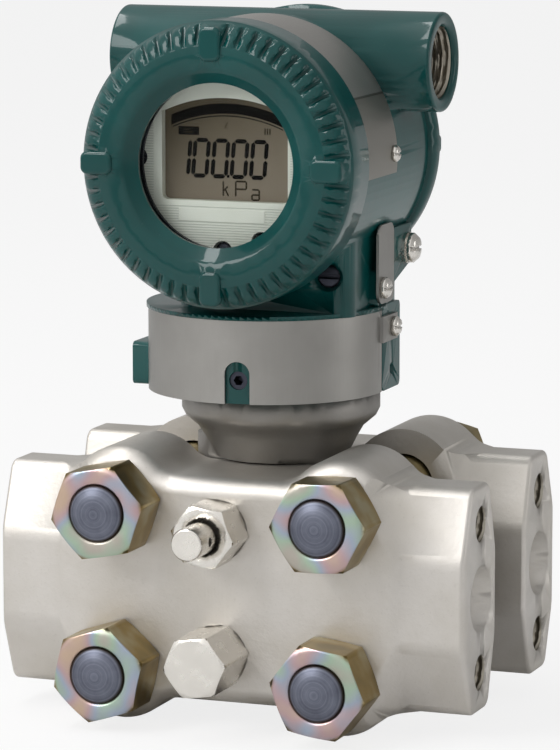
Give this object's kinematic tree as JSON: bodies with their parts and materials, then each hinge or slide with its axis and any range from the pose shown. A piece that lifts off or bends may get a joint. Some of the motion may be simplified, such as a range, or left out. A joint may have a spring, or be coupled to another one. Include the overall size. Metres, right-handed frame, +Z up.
{
  "type": "differential pressure transmitter",
  "caption": "Differential pressure transmitter: capsule bolted between two cover flanges, with a turning amplifier housing, display and screwed covers.",
  "frame": {"origin": "on the neck axis, level with the lowest point of the flange bosses", "axes": "+X along the cover flanges towards the process ports, +Y from the display to the back, +Z up along the neck"},
  "size_m": [0.1362, 0.136, 0.1957],
  "materials": {
    "cast_stainless": "shot-blasted casting, satin",
    "yellow_zinc": "iridescent yellow zinc plating",
    "bright_stainless": "turned, bright",
    "satin_stainless": "fine brushed sheet",
    "green_paint": "glossy blue-green enamel on die-cast aluminium",
    "dark_steel": "blackened steel",
    "window_glass": "clear toughened glass",
    "black_rubber": "matt rubber",
    "seal_plastic": "white sealing plastic",
    "pale_plastic": "pale grey-green moulding with fine ribs",
    "lcd_screen": "liquid crystal screen",
    "green_board": "lacquered circuit board",
    "black_plastic": "black moulding"
  },
  "bodies": {
    "base": {"cover_flange_front": "cast_stainless", "cover_flange_rear": "cast_stainless", "flange_bolts": "yellow_zinc", "flange_nuts": "yellow_zinc", "capsule_body": "cast_stainless", "capsule_gasket_front": "seal_plastic", "capsule_gasket_rear": "seal_plastic", "isolating_diaphragm_front": "bright_stainless", "isolating_diaphragm_rear": "bright_stainless", "vent_body_front": "bright_stainless", "vent_body_rear": "bright_stainless", "drain_plug_front": "bright_stainless", "drain_plug_rear": "bright_stainless", "pressure_sensor": "bright_stainless", "neck_seal": "black_rubber"},
    "housing": {"amplifier_housing": "green_paint", "base_band": "satin_stainless", "name_plate": "satin_stainless", "name_plate_screws": "bright_stainless", "tag_plate": "satin_stainless", "tag_screw": "bright_stainless", "band_screw": "bright_stainless", "ground_screw": "bright_stainless", "ground_washer": "bright_stainless", "neck_set_screw": "dark_steel", "conduit_blanking_plug": "dark_steel", "lcd_bezel": "pale_plastic", "lcd_panel": "lcd_screen", "lcd_case": "pale_plastic", "bezel_screws": "dark_steel", "display_board": "green_board", "cpu_board": "green_board", "board_spacers": "bright_stainless", "terminal_block": "black_plastic", "terminal_screws": "bright_stainless"},
    "zero_adjust": {"zero_adjust_screw": "dark_steel"},
    "front_seal": {"front_cover_seal": "black_rubber"},
    "front_cover": {"front_cover": "green_paint", "window_glass": "window_glass", "glass_retainer": "dark_steel"},
    "rear_seal": {"rear_cover_seal": "black_rubber"},
    "rear_cover": {"rear_cover": "green_paint"},
    "vent_screw_front": {"vent_screw_front": "bright_stainless"},
    "vent_screw_rear": {"vent_screw_rear": "bright_stainless"}
  },
  "joints": [
    {"name": "housing_turn", "type": "hinge", "parent": "base", "child": "housing", "pos_m": [0, 0, 0.0906], "axis": [0, 0, 1], "range_deg": [-180, 180]},
    {"name": "front_cover_travel", "type": "slide", "parent": "housing", "child": "front_seal", "axis": [0, -1, 0], "range_m": [0, 0.009]},
    {"name": "front_cover_turn", "type": "hinge", "parent": "front_seal", "child": "front_cover", "pos_m": [0, -0.037, 0.1566], "axis": [0, -1, 0], "range_deg": [0, 1620]},
    {"name": "rear_cover_travel", "type": "slide", "parent": "housing", "child": "rear_seal", "axis": [0, 1, 0], "range_m": [0, 0.009]},
    {"name": "rear_cover_turn", "type": "hinge", "parent": "rear_seal", "child": "rear_cover", "pos_m": [0, 0.015, 0.1566], "axis": [0, 1, 0], "range_deg": [0, 1620]},
    {"name": "zero_adjust_turn", "type": "hinge", "parent": "housing", "child": "zero_adjust", "pos_m": [0.0246, -0.0294, 0.1252], "axis": [0, -1, 0], "continuous": true},
    {"name": "vent_turn_front", "type": "hinge", "parent": "base", "child": "vent_screw_front", "pos_m": [-0.002, -0.0569, 0.0559], "axis": [0, -1, 0], "range_deg": [0, 540]},
    {"name": "vent_turn_rear", "type": "hinge", "parent": "base", "child": "vent_screw_rear", "pos_m": [-0.002, 0.0569, 0.0559], "axis": [0, 1, 0], "range_deg": [0, 540]}
  ],
  "couplings": [
    {"joint": "front_cover_travel", "follows": "front_cover_turn", "m_per_rad": 0.00031828},
    {"joint": "rear_cover_travel", "follows": "rear_cover_turn", "m_per_rad": 0.00031828}
  ]
}
